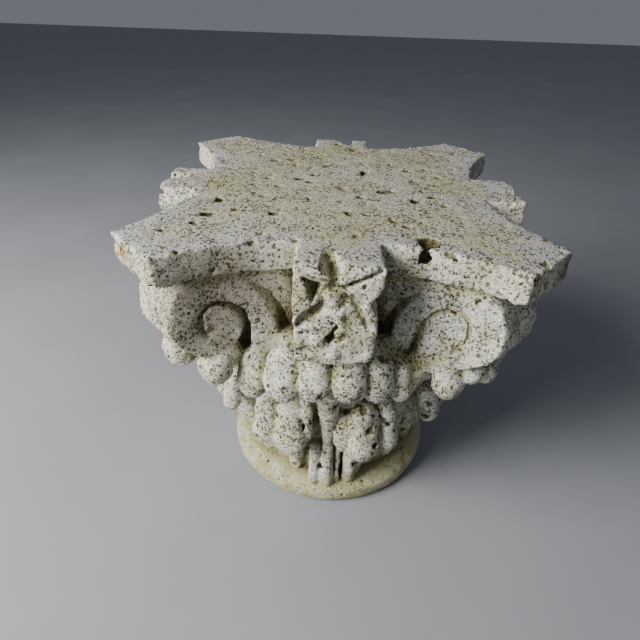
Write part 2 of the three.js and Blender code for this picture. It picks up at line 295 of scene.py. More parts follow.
def carve_abacus(block):
    """The slab on top, with hollow sides and cut-off horns."""
    low, high = (-HALF_WIDTH - 4, -HALF_WIDTH - 4, UNDERSIDE - 8), (HALF_WIDTH + 4,) * 2
    slices, x, y, z = block.window(low, (*high, HEIGHT + 6))
    flat = np.abs(z - (HEIGHT + UNDERSIDE) / 2) - ABACUS_THICKNESS / 2
    block.join(slices, smooth_max(plan_distance(x, y, 0, 0), flat, 2.5))


def carve_bell(block):
    """The bell, slim at its foot, with a lip under the abacus."""
    reach = LIP_RADIUS + 20
    slices, x, y, z = block.window((-reach, -reach, 0), (reach, reach, UNDERSIDE + 8))
    shoulder = UNDERSIDE - LIP_HEIGHT
    climb = np.clip((z - RING_HEIGHT) / (shoulder - RING_HEIGHT), 0, 1)
    radius = FOOT_RADIUS + (LIP_RADIUS - 6 - FOOT_RADIUS) * climb**2.2
    radius = radius + 6 * smooth_step(z, shoulder - 10, shoulder + 16)
    around = np.hypot(x, y)
    block.join(slices, (around - radius) * 0.93, 0)


def carve_ring(block):
    """The rounded base ring."""
    reach = RING_RADIUS + 8
    slices, x, y, z = block.window((-reach, -reach, -8), (reach, reach, RING_HEIGHT + 8))
    out = np.hypot(x, y)
    middle = RING_HEIGHT * 0.42
    roundness = 17.0
    side = np.abs(z - middle) - (middle - roundness) * 0.55
    lobe = np.hypot(np.maximum(out - RING_RADIUS + roundness, 0), np.maximum(side, 0))
    lobe = lobe - roundness
    top = z - RING_HEIGHT + 14 * smooth_step(out, 146, 172)
    slab = smooth_max(out - RING_RADIUS, np.abs(z - RING_HEIGHT / 2) - RING_HEIGHT / 2, 14)
    distance = smooth_max(smooth_max(slab, top, 8), lobe - 3, 6)
    block.join(slices, distance.astype(np.float32), 5)


# One scroll as seen from outside: across the side, away from its middle, and up
SCROLL_RIGHT = [
    (67, 306), (67, 363), (72, 387), (79, 404), (89, 420), (98, 428), (106, 446), (150, 446),
    (165, 436), (175, 422), (181, 408), (185, 392), (185, 373), (180, 359), (172, 346),
    (156, 332), (134, 322), (112, 306),
]
SCROLL_LEFT = [
    (69, 306), (69, 351), (76, 377), (85, 401), (93, 415), (102, 424), (110, 446), (150, 446),
    (163, 436), (171, 428), (178, 417), (181, 406), (183, 392), (182, 373), (179, 358),
    (171, 343), (156, 331), (134, 322), (112, 306),
]
# The groove between the band and the eye: across, up, half width, depth
GROOVE_RIGHT = [
    (93, 318, 5, 9), (96, 336, 4.6, 8), (101, 362, 4, 7.5), (104, 382, 3.1, 6.5),
    (112, 397, 2.6, 5.5), (124, 405, 2.4, 5), (138, 407, 2.2, 5), (147, 402, 2.1, 5),
    (151, 392, 2.0, 5), (151.5, 380, 1.8, 4.5), (149, 368, 1.4, 3.5), (142, 358, 1.0, 2),
]
GROOVE_LEFT = [
    (116, 322, 12, 18), (112, 338, 9, 19), (108, 353, 6, 18), (107, 371, 4.6, 16),
    (111, 388, 3.6, 13), (122, 399, 3.2, 11), (134, 403, 3.0, 9), (145, 403, 2.8, 8),
    (153, 394, 2.7, 8), (156, 383, 2.4, 7), (154, 370, 2.0, 5), (149, 360, 1.4, 3),
]

# The gap along the outer edge of a band, and the foot of the wall behind it
BAND_GAP = [
    (63, 336, 4.5, 20), (64, 352, 4.5, 19), (66, 368, 4.2, 17), (72, 388, 3.6, 14),
    (82, 407, 2.6, 10), (93, 419, 1.4, 5),
]
WALL_FOOT = 352.0


def carve_volutes(block):
    """Two scrolls on each side, with a cheek round every horn."""
    top = UNDERSIDE + 3
    low, high = (-HALF_WIDTH,) * 2, (HALF_WIDTH,) * 2
    slices, x, y, z = block.window((*low, VOLUTE_FOOT - 14), (*high, UNDERSIDE + 6))
    plan = plan_distance(x, y, VOLUTE_SETBACK, 0)
    heart = plan_distance(x, y, VOLUTE_SETBACK + 26, HORN_END_WIDTH / 2)
    horns = np.maximum(heart, UNDERSIDE - LIP_HEIGHT - z)
    along = (np.abs(x) + np.abs(y)) / math.sqrt(2)
    cheek = [(u, v) for u, v in SCROLL_RIGHT if u > 130]
    cheek = [((u + float(face_at(u))) / math.sqrt(2), v) for u, v in cheek]
    steps = np.arange(0, 340, 2.0, dtype=np.float32)
    table = outline_distance(cheek, steps[:, None], z[0, 0][None, :])
    place = np.clip(along[..., 0] / 2.0, 0, len(steps) - 2)
    first = np.floor(place).astype(int)
    share = (place - first)[..., None].astype(np.float32)
    strip = table[first] * (1 - share) + table[first + 1] * share
    horns = smooth_min(horns, strip, 3)
    for side in range(4):
        across = (x, y, -x, -y)[side]
        out = (-y, x, y, -x)[side]
        for hand in (-1, 1):
            outline = SCROLL_LEFT if side == FRONT and hand < 0 else SCROLL_RIGHT
            scroll = outline_distance(outline, across * hand, z)
            horns = smooth_min(horns, np.maximum(scroll, CORE_RADIUS - out), 1.5)
    block.join(slices, smooth_max(horns, plan, 3.5), 2)
    for side in range(4):
        carve_wall(block, side)
        for hand in (-1, 1):
            path = GROOVE_LEFT if hand < 0 and side in (FRONT, RIGHT) else GROOVE_RIGHT
            a, b = sorted((60 * hand, 190 * hand))
            low, high = (a, CORE_RADIUS - 6, VOLUTE_FOOT + 2), (b, HALF_WIDTH + 2, top)
            part, across, out, z = block.side_window(side, low, high)
            edge, depth = path_distance(path, across * hand, z)
            floor = face_at(across) - depth * np.clip(0.45 - edge / 6, 0, 1)
            block.cut(part, np.maximum(edge - 0.5, floor - 1.5 - out), 0.6)
    # The worn spot in the eye of the left volute
    eye = [(on_side(FRONT, -142, float(face_at(142)) + 7, 369), 9.0)]
    block.finger(eye, 1.5, True)


def carve_wall(block, side):
    """The wall between the bands and the flower: flush at its top, sinking to its foot."""
    low, high = (-112, 120, WALL_FOOT - 6), (112, 210, UNDERSIDE + 4)
    part, across, out, z = block.side_window(side, low, high)
    sink = np.clip((436 - z) * 0.15, 0, 12)
    wall = out - (face_at(across) - 1.5 - sink)
    wall = smooth_max(wall * 0.9, np.abs(across) - 108, 2)
    block.join(part, smooth_max(wall, WALL_FOOT - z, 4), 3)
    for hand in (-1, 1):
        edge, depth = path_distance(BAND_GAP, across * hand, z)
        floor = face_at(across) - depth
        block.cut(part, np.maximum(edge, floor - out), 1.5)


def carve_pocket(block, side, outline, top, depth, slope, blend=1.2):
    """A hollow cut into a side from above its face at top, its walls leaning in by slope."""
    spread = np.array(outline)
    low = (spread[:, 0].min() - 6, top - depth - 4, spread[:, 1].min() - 6)
    high = (spread[:, 0].max() + 6, top + 12, spread[:, 1].max() + 6)
    part, across, out, z = block.side_window(side, low, high)
    inside = outline_distance(outline, across, z) + (top - out) * slope
    block.cut(part, np.maximum(inside, top - depth - out), blend)


def carve_flower(block, side, worn):
    """The flower in the middle of a side. Worn ones carry the deeper holes of the front."""
    face = HALF_WIDTH - 3.5
    outline = [
        (-45, 355), (-20, 353), (0, 350), (22, 353), (40, 356), (43, 362), (44, 387), (45, 405),
        (43, 418), (35, 435), (44, 447), (48, 456), (47, 470), (45, 488), (-47, 488), (-47, 405),
        (-44, 398), (-46, 386),
    ]
    part, across, out, z = block.side_window(side, (-60, 150, 340), (60, 256, 486))
    lean = np.clip((HEIGHT - z) * 0.02, 0, 3)
    body = smooth_max(outline_distance(outline, across, z), out - face + lean, 5)
    body = smooth_max(body, z - HEIGHT, 6)
    block.join(part, smooth_max(body, 160 - out, 0), 2)

    def rod(*knots, cut=True, blend=1.2):
        placed = [(on_side(side, *point), radius) for *point, radius in knots]
        block.finger(placed, blend, cut)

    # The notch in the top runs from the abacus down to the button, steep on its right
    rod((-17, 200, 484, 3), (-11, 222, 485, 10), (-7, 240, 479, 12), (-5, 254, 471, 10))
    rod((-13, 210, 480, 2.5), (-6, 234, 467, 5.5), (-1, 251, 456, 5), blend=2)
    # The dish of the button, the slits between petals and the hollow beside the notch
    rod((-5, 260, 440, 24), blend=1.2)
    carve_pocket(block, side, [(0, 456), (41, 476), (46, 472), (3, 450)], face, 9, 0.12)
    carve_pocket(
        block, side, [(13, 447), (19, 442), (29, 422), (36, 403), (31, 402), (22, 420), (12, 438)],
        face, 8, 0.15,
    )
    carve_pocket(
        block, side, [(-12, 441), (-41, 419), (-47, 406), (-45, 397), (-30, 405), (-12, 424)],
        face, 13, 0.28,
    )
    carve_pocket(block, side, [(-37, 466), (-15, 457), (-20, 444), (-27, 431)], face, 15, 0.18)
    carve_pocket(
        block, side, [(4, 426), (15, 440), (25, 420), (31, 402), (21, 396), (6, 403)], face, 4, 0.7
    )
    carve_pocket(
        block, side, [(0, 410), (-6, 397), (-15, 386), (-6, 376), (1, 386), (6, 383), (13, 391),
        (6, 400)], face, 17, 0.12,
    )
    if worn:
        step = [(-50, 399), (-36, 397), (-12, 403), (-15, 388), (-22, 376), (-50, 376)]
        carve_pocket(block, side, step, face, 4.5, 0.2)
        rod((2, 244, 397, 4.5), cut=False)
        rod((-21, 240, 384, 8.5), cut=False, blend=2)
        rod((-40, 247, 369.5, 6.5), (-30, 246, 371.5, 7.5))
        rod((15, 247, 365.5, 4.2), (27, 247, 368, 5))
        rod((-11, 250, 379, 4.5), (-11, 250, 356, 4))
        rod((6, 250, 376, 4), (6, 250, 356, 4))
        rod((27, 245, 457, 3.4), (24, 242, 452, 2))
        rod((24, 245, 439, 3.6), (24, 243, 436, 3))
    rod((-2, 240, 368, 9), cut=False, blend=1.5)
    # The button
    rod((-5, 234, 440, 13), cut=False, blend=0.8)
    rod((-7, 249, 441, 2.6), blend=1)


# Lobes of the front: turn, outer radius, low, high, width
FRONT_UPPER = [
    (-28.0, 238, 254, 338, 46), (-16.0, 243, 268, 346, 52), (-5.6, 247, 284, 352, 42),
    (4.9, 247, 284, 352, 45), (14.2, 241, 277, 350, 42), (22.8, 236, 268, 342, 30),
    (28.2, 228, 286, 340, 28),
]
SIDE_UPPER = [
    (-27.5, 236, 256, 340, 46), (-15.8, 243, 270, 348, 50), (-5.2, 247, 284, 352, 44),
    (5.2, 247, 284, 352, 44), (15.8, 243, 270, 348, 50), (27.5, 236, 256, 340, 46),
]
# Lobes under a horn, turned from the corner
LEFT_HORN = [
    (-10.5, 236, 288, 322, 30), (-1.5, 290, 296, 348, 50), (-8.5, 274, 282, 332, 50),
    (8.5, 270, 280, 330, 50),
]
RIGHT_HORN = [
    (-9.3, 268, 276, 340, 46), (-4.2, 278, 299, 338, 34), (0.5, 284, 292, 334, 34),
    (9.0, 276, 292, 342, 48),
]
# Lobes of the lower tier: turn, radius at the middle, low, high, width
LOW_LEFT = [(-18.4, 203, 122, 230, 54), (-31.5, 203, 128, 222, 42)]
LOW_RIGHT = [(16.4, 203, 116, 230, 54), (28.6, 199, 122, 232, 36), (6.6, 186, 132, 232, 28)]
# Folds cut between the lower lobes: turn, radius, low, high, half width
FOLDS = [
    (-24.8, 199, 150, 214, 2.0), (-11.9, 188, 150, 206, 3.0), (21.9, 197, 140, 214, 2.4),
]


def carve_lobe(block, turn, reach, low, high, width, lean=30.0, blend=1.5):
    """One lobe of a leaf: an egg that hangs from the leaf and bulges towards its foot."""
    half = width / 2
    belly = low + half * 1.0
    knots = [
        (turn, reach - half - lean, high - half * 0.5, half * 0.66),
        (turn, reach - half - lean * 0.22, (belly + high) / 2 + 2, half * 0.9),
        (turn, reach - half, belly + 2, half),
        (turn, reach - half * 0.9, low + half * 0.66, half * 0.66),
    ]
    placed = [(round_axis(a, b + half * 0.2, c), radius) for a, b, c, radius in knots]
    block.finger(placed, blend, squeeze=0.8)


def carve_rim(block, turn, spread, reach, low, high, blend=6.0):
    """The leaf behind a row of lobes, bent round the axis."""
    half = (high - low) / 2
    count = 6
    knots = []
    for i in range(count + 1):
        share = 2 * i / count - 1
        point = round_axis(turn + spread * share, reach - half - 6 * share**2, low + half)
        knots.append((point, half * (1 - 0.15 * share**2)))
    block.finger(knots, blend)


def carve_stalk(block, turn, knots, blend=4.0):
    """A rib or stalk through knots of (turn, outer radius, height, half width)."""
    placed = []
    for off, reach, height, half in knots:
        placed.append((round_axis(turn + off, reach - half, height), half))
    block.finger(placed, blend)


def carve_upper_leaves(block):
    """The tier under the flowers and horns."""
    for side in range(4):
        turn = side * 90.0
        carve_rim(block, turn, 25, 216, 296, 356)
        carve_rim(block, turn + 45, 9, 262, 300, 350)
        carve_stalk(block, turn, [(0, 214, 300, 30), (0, 190, 262, 26), (0, 168, 210, 22)], 14)
        for off in (-14, 14):
            knots = [(off, 212, 296, 26), (off * 0.8, 184, 250, 20), (off * 0.6, 164, 200, 16)]
            carve_stalk(block, turn, knots, 12)
        corner = [(0, 234, 308, 32), (0, 192, 254, 24), (0, 164, 190, 16), (0, 152, 60, 12)]
        carve_stalk(block, turn + 45, corner, 12)
        for lobe in FRONT_UPPER if side == FRONT else SIDE_UPPER:
            carve_lobe(block, turn + lobe[0], *lobe[1:])
        for lobe in RIGHT_HORN if side == FRONT else LEFT_HORN:
            carve_lobe(block, turn + 45 + lobe[0], *lobe[1:])


def carve_lower_leaves(block):
    """The tier above the ring, a pair of leaves on each side with a stem between them."""
    for side in range(4):
        turn = side * 90.0
        for lobe in LOW_LEFT + LOW_RIGHT:
            carve_lobe(block, turn + lobe[0], *lobe[1:], lean=38, blend=2)
        for off in (-21, 18):
            leaf = [(0, 172, 190, 24), (0, 164, 120, 17), (0, 154, 52, 12)]
            carve_stalk(block, turn + off, leaf, 6)
        blade = [(-12, 180, 232, 9), (-10.2, 189, 200, 8), (-9.6, 184, 160, 5)]
        carve_stalk(block, turn, blade, 2.5)
        # Dark folds between the lobes
        for off, reach, low, high, radius in FOLDS:
            ends = [(off, reach, high, radius), (off, reach - 8, low, radius * 0.7)]
            placed = [(round_axis(turn + a, b, c), d) for a, b, c, d in ends]
            block.finger(placed, 2, True)
        # The stem is thin in its middle and swells to its foot and head
        stem = [
            (-0.8, 216, 290, 19), (-0.8, 199, 250, 18), (-0.8, 184, 205, 14.5),
            (-0.6, 171, 150, 9), (-0.4, 167, 130, 8), (-0.3, 168, 90, 10), (-0.3, 171, 44, 12.5),
        ]
        carve_stalk(block, turn, stem, 1.5)
        carve_stalk(block, turn, [(-7.5, 164, 112, 9), (-7.5, 168, 44, 9.5)], 2)
        carve_stalk(block, turn, [(5.6, 160, 112, 4), (5.6, 164, 44, 4)], 2)
        carve_stalk(block, turn, [(13, 172, 124, 12), (13, 170, 70, 11), (12.5, 166, 44, 10)], 3)


def wear(block, rng, amount):
    """Roughens the faces and rounds and chips the edges."""
    lumps = block.noise(24, rng) * 0.8 + block.noise(10, rng) * 0.8 + block.noise(5.5, rng) * 0.7
    sawn_and_shaded = smooth_step(block.axes[2], HEIGHT - 10, HEIGHT - 2)[None, None, :]
    ring = 1 - smooth_step(block.axes[2], RING_HEIGHT - 6, RING_HEIGHT + 6)[None, None, :]
    calm = 1 - 0.8 * sawn_and_shaded - 0.55 * ring
    full = block.fullness(10)
    edge = np.clip(0.5 - full, 0, 0.5)
    chips = 0.7 + 2.2 * block.noise(12, rng) * block.noise(31, rng) + 1.3 * block.noise(7, rng)
    rough = lumps * calm + edge * np.clip(chips - 0.3, 0, 3) * 4.4
    block.field += rough.astype(np.float32) * amount


# Pits that stand out: point on the surface, radius, depth
NAMED_PITS = [
    ((-157, -129, 480), 9.0), ((-168, -157, 480), 5.5), ((-128, -112, 480), 6.0),
    ((-80, -119, 480), 8.5), ((-60, 14, 480), 9.0), ((-44, 2, 480), 8.0),
    ((2, -22, 480), 8.0), ((26, -52, 480), 7.0), ((55, -28, 480), 9.5), ((66, -26, 480), 8.0),
    ((96, -60, 480), 9.0), ((122, -40, 480), 6.0), ((64, -130, 480), 6.0),
    ((97, -182, 479), 17.0), ((112, -184, 470), 13.0), ((76, -143, 480), 6.5),
    ((-196, -180, 480), 5.0), ((-215, -214, 462), 6.0), ((52, -174, 26), 8.0),
    ((-80, -156, 30), 6.0), ((56, -214, 345), 6.0), ((66, -186, 160), 6.0),
]


PIT_COUNT = 3300
PIT_RADIUS = 2.0
RING_PIT_RADIUS = 3.0


def add_pits(block, rng, share):
    """Sinks named pits and a scatter of smaller ones into the surface."""
    for point, radius in NAMED_PITS:
        centre = np.array(point, float)
        centre[2] = min(centre[2], HEIGHT) - radius * 0.25
        stretch = rng.uniform(-0.5, 0.5, 2) * radius
        other = centre + np.array([*stretch, -radius * 0.3])
        block.finger([(centre, radius * 0.75), (other, radius * 0.7)], 1.5, True)
    near = np.flatnonzero(np.abs(block.field.ravel()) < block.pitch * 0.5)
    count = int(PIT_COUNT * share)
    chosen = rng.choice(near, count, replace=False)
    index = np.stack(np.unravel_index(chosen, block.field.shape), 1)
    size = rng.uniform(0, 1, count)
    radii = PIT_RADIUS + 1.7 * size**2 + 3.0 * size**12
    slide = rng.normal(0, 1.0, (count, 3))
    depth = rng.uniform(0.0, 1.0, count)
    for (i, j, k), radius, run, sink in zip(index, radii, slide, depth):
        height = block.axes[2][k]
        if height < RING_HEIGHT and radius > RING_PIT_RADIUS or height < 3:
            continue
        centre = np.array([block.axes[0][i], block.axes[1][j], height], float)
        across = np.abs(centre[:2]).min()
        carved = VOLUTE_FOOT < height < HEIGHT - 6 and (across < 50 or 60 < across < 186)
        if carved and radius > 2.1:
            continue
        end = centre + run * radius * (0.45 + 0.5 * sink)
        block.finger([(centre, radius), (end, radius * 0.75)], 1.0, True)


def stone_mesh(block, name, limit):
    """The block's surface as a smooth mesh in metres, under a limit of triangles."""
    grid = openvdb.FloatGrid(FAR_OFF)
    grid.copyFromArray(block.field)
    points, triangles, quads = grid.convertToPolygons(isovalue=0.0, adaptivity=0.0)
    points = points * block.pitch + block.low
    corners = np.concatenate([triangles[:, ::-1].ravel(), quads[:, ::-1].ravel()])
    sizes = np.repeat([3, 4], [len(triangles), len(quads)])
    mesh = bpy.data.meshes.new(name)
    mesh.vertices.add(len(points))
    mesh.vertices.foreach_set("co", points.astype(np.float32).ravel())
    mesh.loops.add(len(corners))
    mesh.loops.foreach_set("vertex_index", corners.astype(np.int32))
    mesh.polygons.add(len(sizes))
    mesh.polygons.foreach_set("loop_start", (np.cumsum(sizes) - sizes).astype(np.int32))
    mesh.update(calc_edges=True)
    dense = bpy.data.objects.new(name + "_dense", mesh)
    bpy.context.scene.collection.objects.link(dense)
    count = len(triangles) + 2 * len(quads)
    thin = dense.modifiers.new("thin", "DECIMATE")
    thin.ratio = min(1.0, limit / count)
    thin.use_collapse_triangulate = True
    graph = bpy.context.evaluated_depsgraph_get()
    made = bpy.data.meshes.new_from_object(dense.evaluated_get(graph))
    bpy.data.objects.remove(dense)
    bpy.data.meshes.remove(mesh)
    made.name = name
    return made


def mesh_points(mesh):
    """The mesh's points as an array of rows."""
    points = np.empty(len(mesh.vertices) * 3)
    mesh.vertices.foreach_get("co", points)
    return points.reshape(-1, 3)


def store(mesh, name, values):
    """Keeps one value for each point of the mesh under a name that the finish can read."""
    attribute = mesh.attributes.new(name, "FLOAT", "POINT")
    attribute.data.foreach_set("value", values.astype(np.float32))


# Finish


class Wire:
    """A shader socket that takes Python's operators; each one adds a Math node."""

    def __init__(self, finish, socket):
        self.finish = finish
        self.socket = socket

    def maths(self, operation, *values):
        inputs = dict(enumerate(values))
        return self.finish.node("ShaderNodeMath", {"operation": operation}, inputs)

    def __add__(self, other):
        return self.maths("ADD", self, other)

    __radd__ = __add__

    def __sub__(self, other):
        return self.maths("SUBTRACT", self, other)

    def __rsub__(self, other):
        return self.maths("SUBTRACT", other, self)

    def __mul__(self, other):
        return self.maths("MULTIPLY", self, other)

    __rmul__ = __mul__

    def clipped(self):
        return self.finish.node("ShaderNodeClamp", {}, {"Value": self})

    def step(self, low, high, start=0.0, end=1.0):
        """An even slope from start at low to end at high."""
        settings = {"interpolation_type": "SMOOTHSTEP"}
        inputs = {"Value": self, "From Min": low, "From Max": high, "To Min": start, "To Max": end}
        return self.finish.node("ShaderNodeMapRange", settings, inputs)


class Finish:
    """A procedural material in the making."""

    def __init__(self, name):
        self.material = bpy.data.materials.new(name)
        self.material.use_nodes = True
        self.tree = self.material.node_tree
        self.tree.nodes.clear()

    def node(self, kind, settings, inputs, output=0):
        """A node with its settings and its sockets' values or links, as one of its outputs."""
        made = self.tree.nodes.new(kind)
        for key, value in settings.items():
            setattr(made, key, value)
        for key, value in inputs.items():
            if isinstance(value, Wire):
                self.tree.links.new(value.socket, made.inputs[key])
            else:
                made.inputs[key].default_value = value
        return Wire(self, made.outputs[output]) if made.outputs else None

    def surface(self, inputs):
        """Ends the material with a matte surface."""
        shader = self.node(
            "ShaderNodeBsdfPrincipled", {}, {**inputs, "Specular IOR Level": 0.25}
        )
        self.node("ShaderNodeOutputMaterial", {}, {"Surface": shader})

    def mix(self, share, first, second):
        """A colour between two others."""
        first, second = (c if isinstance(c, Wire) else (*c, 1.0) for c in (first, second))
        settings = {"data_type": "RGBA"}
        return self.node("ShaderNodeMix", settings, {0: share, 6: first, 7: second}, 2)

    def noise(self, place, scale, detail=3.0, roughness=0.55):
        inputs = {"Vector": place, "Scale": scale, "Detail": detail, "Roughness": roughness}
        return self.node("ShaderNodeTexNoise", {}, inputs)

    def pores(self, place, scale, share, small, large, soft, crowd):
        """Pores, one to a cell: 1 in a pore. A share of the cells has one, wider in a crowd."""
        inputs = {"Vector": place, "Scale": scale}
        cells = self.node("ShaderNodeTexVoronoi", {}, inputs, "Distance")
        colour = Wire(self, cells.socket.node.outputs["Color"])
        chance = self.node("ShaderNodeSeparateColor", {}, {0: colour}, 0)
        radius = chance.step(1.0 - share, 1.0, small, large) * crowd
        return (radius - cells).step(-soft, soft) * chance.step(0.98 - share, 1.0 - share)

    def near(self, place, point, radius):
        """1 at a point in millimetres, falling to 0 at a radius from it."""
        point = tuple(MM * value for value in point)
        settings = {"operation": "DISTANCE"}
        gap = self.node("ShaderNodeVectorMath", settings, {0: place, 1: point}, "Value")
        return gap.step(radius * MM, radius * MM * 0.35)


def stone_finish(colours):
    """Cream porous stone: grey on its saw-cut top, partly painted shade; yellow-green in its
    hollows; brown grime with painted shade in the deeper hollows and pits; pores painted dark as
    shade.
    """
    finish = Finish("porous_stone")
    still = finish.node("ShaderNodeTexCoord", {}, {}, "Object")
    stir = {"Vector": still, "Scale": 170.0, "Detail": 2.0}
    stir = finish.node("ShaderNodeTexNoise", {}, stir, "Color")
    stir = finish.node("ShaderNodeVectorMath", {"operation": "SUBTRACT"}, {0: stir, 1: (0.5,) * 3})
    stir = finish.node("ShaderNodeVectorMath", {"operation": "SCALE"}, {0: stir, "Scale": 0.0085})
    place = finish.node("ShaderNodeVectorMath", {"operation": "ADD"}, {0: still, 1: stir})
    height = finish.node("ShaderNodeSeparateXYZ", {}, {0: still}, "Z")
    hollow, deep, pit = (
        finish.node("ShaderNodeAttribute", {"attribute_name": name}, {}, "Fac")
        for name in ("hollow", "deep", "pit")
    )

    broad = finish.noise(still, 9.0, 4.0)
    patchy = finish.noise(still, 34.0, 4.0)
    grit = finish.noise(place, 230.0, 4.0, 0.7)
    grain = finish.noise(place, 560.0, 3.0, 0.7)
    sawn_and_shaded = height.step(0.4775, 0.4795)
    low = height.step(0.075, 0.035)

    crowd = patchy.step(0.30, 0.62, 0.62, 1.05) * (1 - low * 0.45)
    fine = finish.pores(place, 265.0, 0.90, 0.20, 0.50, 0.05, crowd)
    middle = finish.pores(place, 172.0, 0.80, 0.08, 0.31, 0.025, crowd)
    coarse = finish.pores(place, 66.0, 0.45, 0.06, 0.20, 0.015, 1 - low * 0.3)
    shaded_pores = (fine * 0.8 + middle).clipped()

    stone = finish.mix(broad.step(0.35, 0.65), colours.stone, colours.stone_warm)
    stone = finish.mix(patchy.step(0.42, 0.68) * 0.6, stone, colours.stone_dull)
    stone = finish.mix(grit.step(0.44, 0.62) * 0.6, stone, colours.grain)
    # The top is grey: the tone of its saw-cut face, plus painted shade for the dimmer light that
    # falls on it.
    top = finish.mix(broad.step(0.4, 0.62), colours.sawn_and_shaded, colours.sawn_and_shaded_warm)
    top = finish.mix(grit.step(0.45, 0.65) * 0.4, top, colours.grain)
    stone = finish.mix(sawn_and_shaded * 0.88, stone, top)

    # Yellow-green growth in the hollows, on the ring and in patches near the flowers
    moss = hollow.step(0.47, 0.60) * broad.step(0.3, 0.6, 0.6, 1.0)
    near_flower = finish.near(still, (-5, -250, 432), 60)
    patch = patchy.step(0.40, 0.66) * (0.42 - sawn_and_shaded * 0.34) * (1 + near_flower)
    moss = (moss * 0.8 + low * 0.6 + patch).clipped()
    stone = finish.mix(moss, stone, colours.moss)
    # Painted shade with brown grime: darker in the hollows, darkest in the deepest ones.
    hollow_grime_and_shade = hollow.step(0.60, 0.78) * patchy.step(0.3, 0.6, 0.55, 1.0)
    stone = finish.mix(hollow_grime_and_shade * 0.85, stone, colours.dirt_and_shade)
    stone = finish.mix(deep.step(0.62, 0.80) * 0.9, stone, colours.dirt_and_shade)

    # One rusty inclusion on the left horn, and a brown stain mixed with painted shade beside it
    # and on the right horn, on faces turned from the light
    rust = finish.near(place, (-236, -205, 462), 17) * patchy.step(0.3, 0.55)
    stone = finish.mix(rust, stone, colours.rust)
    shade = finish.near(still, (-132, -222, 415), 95) * 0.62
    shade = shade + finish.near(still, (262, -180, 455), 55) * 0.8
    stone = finish.mix((shade * (1 - sawn_and_shaded)).clipped(), stone, colours.shade)

    # The pits and coarse pores are painted brown to near black inside: grime and painted shade.
    lining_and_shade = finish.mix(grit.step(0.42, 0.6), colours.lining_and_shade, colours.lining_and_shade_dark)
    stone = finish.mix(pit.step(0.12, 0.7) * 0.9, stone, lining_and_shade)
    stone = finish.mix(coarse * 0.92, stone, lining_and_shade)
    # The small pores are only bumps; their near-black colour is painted shade inside them.
    stone = finish.mix(shaded_pores * 0.96, stone, colours.pore)

    relief = grit * 1.1 + grain * 0.35 - shaded_pores * 0.9 - coarse * 1.4
    bump = {"Strength": 1.0, "Distance": 0.0040, "Height": relief}
    bump = finish.node("ShaderNodeBump", {}, bump)
    rough = (0.86 + grain * 0.12).clipped()
    finish.surface({"Base Color": stone, "Roughness": rough, "Normal": bump})
    return finish.material


def floor_finish(colour):
    """Plain pale floor paint with a faint mottle."""
    finish = Finish("pale_floor")
    place = finish.node("ShaderNodeTexCoord", {}, {}, "Object")
    mottle = finish.noise(place, 3.0, 3.0)
    darker = tuple(0.93 * value for value in colour)
    paint = finish.mix(mottle.step(0.3, 0.7), colour, darker)
    finish.surface({"Base Color": paint, "Roughness": 0.8})
    return finish.material


# Settings, operators and panel


def colour_setting(name, description, default):
    return FloatVectorProperty(
        name=name, description=description, default=default, subtype="COLOR", min=0, max=1
    )


class CarvingSettings(bpy.types.PropertyGroup):
    """Sizes of the carving."""

    pitch: FloatProperty(
        name="Grid pitch",
        description="Spacing of the grid that the block is carved on, in millimetres",
        default=1.8, min=1.2, max=6.0,
    )
    wear: FloatProperty(
        name="Wear", description="How rough and chipped the stone is",
        default=1.0, min=0.0, max=2.0, subtype="FACTOR",
    )
    pits: FloatProperty(
        name="Pits", description="How many pits the stone has, as a share of the usual",
        default=1.0, min=0.0, max=3.0, subtype="FACTOR",
    )
    triangles: IntProperty(
        name="Triangles", description="Most triangles in the mesh",
        default=190000, min=20000, max=199000,
    )
    seed: IntProperty(name="Seed", description="Start of the random wear", default=11)


class StoneColours(bpy.types.PropertyGroup):
    """Colours of the stone."""

    stone: colour_setting("Stone", "Clean stone", (0.90, 0.89, 0.80))
    stone_warm: colour_setting("Warm stone", "Stone in warmer patches", (0.85, 0.81, 0.66))
    stone_dull: colour_setting("Dull stone", "Stone in greyer patches", (0.62, 0.59, 0.49))
    grain: colour_setting("Grain", "Dark grain of the stone", (0.36, 0.33, 0.24))
    # The top's grey is partly painted shade.
    sawn_and_shaded: colour_setting("Sawn and shaded top", "The sawn top", (0.52, 0.51, 0.50))
    sawn_and_shaded_warm: colour_setting("Warm top", "Warmer patches of the top", (0.48, 0.46, 0.42))
    moss: colour_setting("Moss", "Yellow-green growth", (0.47, 0.45, 0.23))
    # Brown grime together with painted shade in the hollows.
    dirt_and_shade: colour_setting("Dirt and shade", "Brown dirt in deep hollows", (0.17, 0.12, 0.06))
    rust: colour_setting("Rust", "The rusty inclusion", (0.55, 0.26, 0.10))
    # A brown stain mixed with painted shade, for faces turned from the light.
    shade: colour_setting("Stain and shade", "The brown stain on the left", (0.27, 0.23, 0.17))
    # Inside the pits: brown grime and painted shade.
    lining_and_shade: colour_setting("Pit lining", "The lining of pits", (0.27, 0.21, 0.09))
    lining_and_shade_dark: colour_setting("Dark lining", "The darker lining of pits", (0.08, 0.07, 0.04))
    # Painted shade inside the small pores.
    pore: colour_setting("Pore", "Inside the small pores", (0.035, 0.032, 0.022))


class StageSettings(bpy.types.PropertyGroup):
    """Floor, light and camera."""

    floor: colour_setting("Floor", "The floor's paint", (0.30, 0.31, 0.33))
    sky: colour_setting("Sky", "The even light from all round", (0.80, 0.86, 1.0))
    sky_strength: FloatProperty(name="Sky strength", description="Even light", default=0.19)
    window_power: FloatProperty(
        name="Window power", description="Light from the left", default=114.0, unit="POWER"
    )
    window_turn: FloatProperty(
        name="Window turn", description="Direction of the light, to the left of the front",
        default=math.radians(58), unit="ROTATION",
    )
    window_height: FloatProperty(
        name="Window height", description="Angle of the light above the floor",
        default=math.radians(29), unit="ROTATION",
    )


